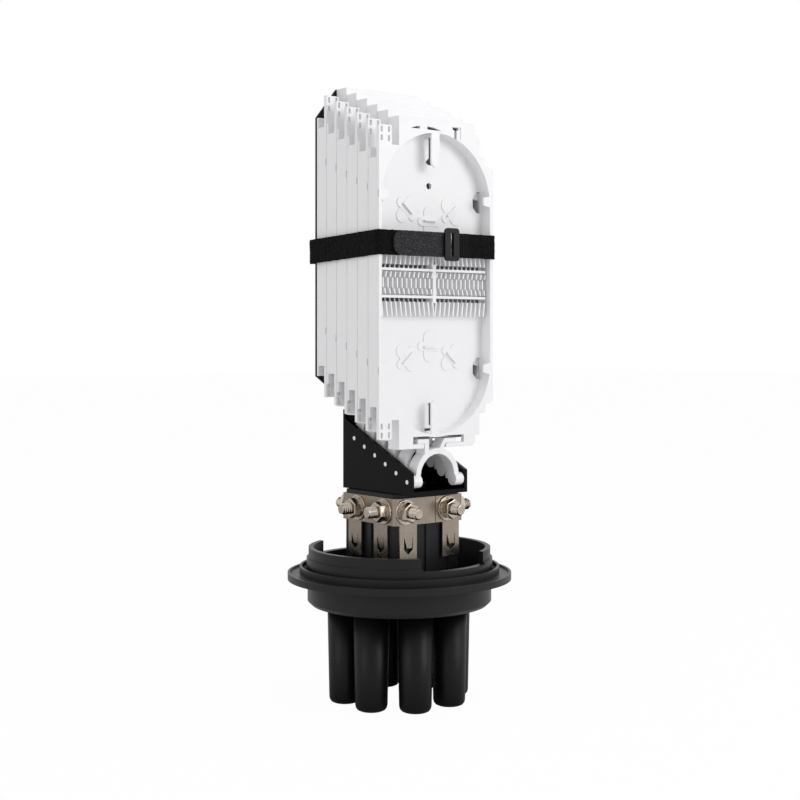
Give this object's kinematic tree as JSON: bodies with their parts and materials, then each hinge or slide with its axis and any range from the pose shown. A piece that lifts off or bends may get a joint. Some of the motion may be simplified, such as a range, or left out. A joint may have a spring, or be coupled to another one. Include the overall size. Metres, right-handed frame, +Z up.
{
  "type": "dome splice closure",
  "caption": "Inside of an upright fibre splice closure with its dome off: ported base, clamp band, tray holder and hinged splice trays.",
  "frame": {"origin": "on the closure's upright axis, in the plane of the ends of the cable ports", "axes": "+Z up along the closure; -Y towards the front, where the trays' pockets face; +X to the right seen from the front"},
  "size_m": [0.18, 0.18, 0.4908],
  "materials": {
    "base_plastic": "matte black moulded plastic",
    "seal_rubber": "black rubber",
    "screw_steel": "plated",
    "band_nickel": "nickel plated sheet",
    "bolt_nickel": "nickel plated",
    "holder_plastic": "satin black",
    "plate_plastic": "matte black",
    "tray_plastic": "white moulded plastic",
    "strap_fabric": "black hook-and-loop tape",
    "buckle_plastic": "black"
  },
  "bodies": {
    "base": {"base_housing": "base_plastic", "base_floor": "base_plastic", "port_tubes": "base_plastic", "seal_ring": "seal_rubber", "support_core": "base_plastic", "core_screws": "screw_steel", "clamp_band": "band_nickel", "clamp_bolts": "bolt_nickel", "clamp_washers": "bolt_nickel", "clamp_nuts": "bolt_nickel", "tray_holder": "holder_plastic", "holder_screws": "screw_steel", "back_plate": "plate_plastic", "back_plate_screws": "screw_steel", "strap": "strap_fabric", "strap_buckle": "buckle_plastic"},
    "tray_unit_1": {"tray_1": "tray_plastic", "hinge_yoke_1": "tray_plastic"},
    "tray_unit_2": {"tray_2": "tray_plastic", "hinge_yoke_2": "tray_plastic"},
    "tray_unit_3": {"tray_3": "tray_plastic", "hinge_yoke_3": "tray_plastic"},
    "tray_unit_4": {"tray_4": "tray_plastic", "hinge_yoke_4": "tray_plastic"},
    "tray_unit_5": {"tray_5": "tray_plastic", "hinge_yoke_5": "tray_plastic"},
    "tray_unit_6": {"tray_6": "tray_plastic", "hinge_yoke_6": "tray_plastic"}
  },
  "joints": [
    {"name": "tray_1_tilt", "type": "hinge", "parent": "base", "child": "tray_unit_1", "pos_m": [0, -0.0453, 0.1789], "axis": [1, 0, 0], "range_deg": [0, 80], "deforming": ["strap", "strap_buckle"]},
    {"name": "tray_2_tilt", "type": "hinge", "parent": "base", "child": "tray_unit_2", "pos_m": [0, -0.03168, 0.18496], "axis": [1, 0, 0], "range_deg": [0, 68]},
    {"name": "tray_3_tilt", "type": "hinge", "parent": "base", "child": "tray_unit_3", "pos_m": [0, -0.01806, 0.19102], "axis": [1, 0, 0], "range_deg": [0, 56]},
    {"name": "tray_4_tilt", "type": "hinge", "parent": "base", "child": "tray_unit_4", "pos_m": [0, -0.00444, 0.19708], "axis": [1, 0, 0], "range_deg": [0, 44]},
    {"name": "tray_5_tilt", "type": "hinge", "parent": "base", "child": "tray_unit_5", "pos_m": [0, 0.00918, 0.20314], "axis": [1, 0, 0], "range_deg": [0, 32]},
    {"name": "tray_6_tilt", "type": "hinge", "parent": "base", "child": "tray_unit_6", "pos_m": [0, 0.0228, 0.2092], "axis": [1, 0, 0], "range_deg": [0, 20]}
  ],
  "couplings": [
    {"joint": "tray_2_tilt", "follows": "tray_1_tilt", "ratio": 0.85},
    {"joint": "tray_3_tilt", "follows": "tray_1_tilt", "ratio": 0.7},
    {"joint": "tray_4_tilt", "follows": "tray_1_tilt", "ratio": 0.55},
    {"joint": "tray_5_tilt", "follows": "tray_1_tilt", "ratio": 0.4},
    {"joint": "tray_6_tilt", "follows": "tray_1_tilt", "ratio": 0.25}
  ]
}
